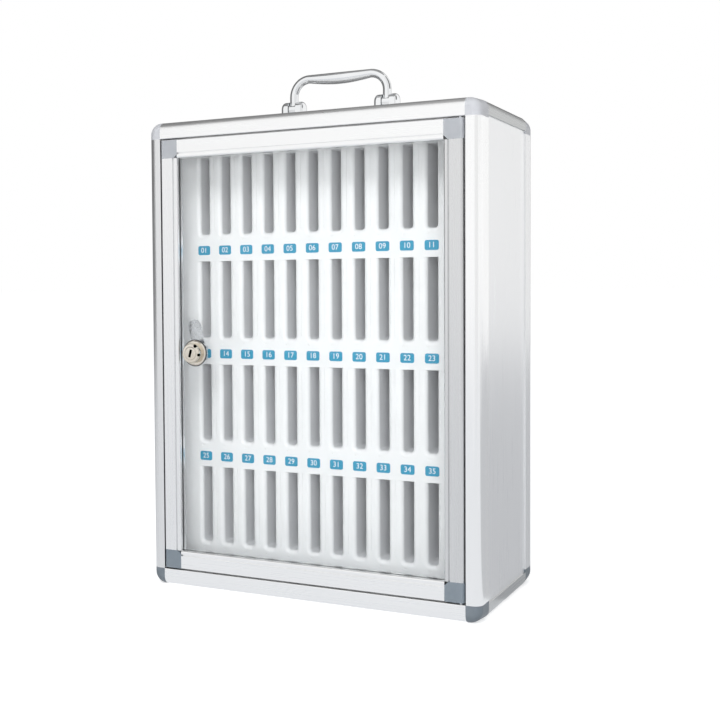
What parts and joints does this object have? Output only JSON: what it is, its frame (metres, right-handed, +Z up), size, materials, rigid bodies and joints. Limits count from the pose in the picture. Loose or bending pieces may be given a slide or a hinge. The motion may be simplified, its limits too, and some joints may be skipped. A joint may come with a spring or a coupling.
{
  "type": "phone locker box",
  "caption": "Portable phone locker box: aluminium-edged cabinet with a clear hinged door, cam lock, folding handle and a numbered slotted rack inside.",
  "frame": {"origin": "centre of the flat underside of the bottom panel, which is the plane the box stands on", "axes": "+X to the right of someone facing the door, +Y to the back, +Z up; the door faces -Y"},
  "size_m": [0.368, 0.1966, 0.553],
  "materials": {
    "frame_aluminium": "satin anodised",
    "door_aluminium": "satin anodised",
    "panel_aluminium": "satin",
    "corner_plastic": "fine matt",
    "door_plastic": "fine matt",
    "clear_pane": "clear polished acrylic",
    "rack_white": "smooth white",
    "label_blue": "glossy with white figures",
    "handle_chrome": "polished",
    "lock_nickel": "polished nickel",
    "steel": "bright zinc"
  },
  "bodies": {
    "cabinet": {"front_profile_top": "frame_aluminium", "rear_profile_top": "frame_aluminium", "front_profile_bottom": "frame_aluminium", "rear_profile_bottom": "frame_aluminium", "front_profile_left": "frame_aluminium", "rear_profile_left": "frame_aluminium", "front_profile_right": "frame_aluminium", "rear_profile_right": "frame_aluminium", "edge_profile_top_left": "frame_aluminium", "edge_profile_top_right": "frame_aluminium", "edge_profile_bottom_left": "frame_aluminium", "edge_profile_bottom_right": "frame_aluminium", "door_stops": "frame_aluminium", "corner_cap_front_top_left": "corner_plastic", "corner_cap_rear_top_left": "corner_plastic", "corner_cap_front_top_right": "corner_plastic", "corner_cap_rear_top_right": "corner_plastic", "corner_cap_front_bottom_left": "corner_plastic", "corner_cap_rear_bottom_left": "corner_plastic", "corner_cap_front_bottom_right": "corner_plastic", "corner_cap_rear_bottom_right": "corner_plastic", "side_panel_left": "panel_aluminium", "side_panel_right": "panel_aluminium", "top_panel": "panel_aluminium", "bottom_panel": "panel_aluminium", "back_panel": "panel_aluminium", "rack_strip_0": "rack_white", "rack_strip_1": "rack_white", "rack_strip_2": "rack_white", "rack_strip_3": "rack_white", "rack_strip_4": "rack_white", "rack_dividers_row_1": "rack_white", "rack_dividers_row_2": "rack_white", "rack_dividers_row_3": "rack_white", "rack_dividers_row_4": "rack_white", "rack_back_plate": "rack_white", "slot_labels_row_1": "label_blue", "slot_labels_row_2": "label_blue", "slot_labels_row_3": "label_blue", "slot_labels_row_4": "label_blue", "handle_bracket_left": "handle_chrome", "handle_bracket_right": "handle_chrome", "handle_rivets": "steel", "handle_pivot_pins": "steel", "door_pivot_pins": "steel"},
    "door": {"door_rail_top": "door_aluminium", "door_rail_bottom": "door_aluminium", "door_stile_left": "door_aluminium", "door_stile_right": "door_aluminium", "door_corner_top_left": "door_plastic", "door_corner_top_right": "door_plastic", "door_corner_bottom_left": "door_plastic", "door_corner_bottom_right": "door_plastic", "door_pane": "clear_pane", "lock_body": "lock_nickel", "lock_nut": "steel"},
    "lock": {"lock_plug": "lock_nickel", "lock_cam": "steel", "cam_screw": "steel"},
    "handle": {"handle_grip": "handle_chrome"}
  },
  "joints": [
    {"name": "door_hinge", "type": "hinge", "parent": "cabinet", "child": "door", "pos_m": [0.1635, -0.091, 0.25], "axis": [0, 0, 1], "range_deg": [0, 100]},
    {"name": "lock_turn", "type": "hinge", "parent": "door", "child": "lock", "pos_m": [-0.13, -0.091, 0.253], "axis": [0, -1, 0], "range_deg": [-15, 75]},
    {"name": "handle_fold", "type": "hinge", "parent": "cabinet", "child": "handle", "pos_m": [0, 0, 0.517], "axis": [1, 0, 0], "range_deg": [-90, 90]}
  ]
}
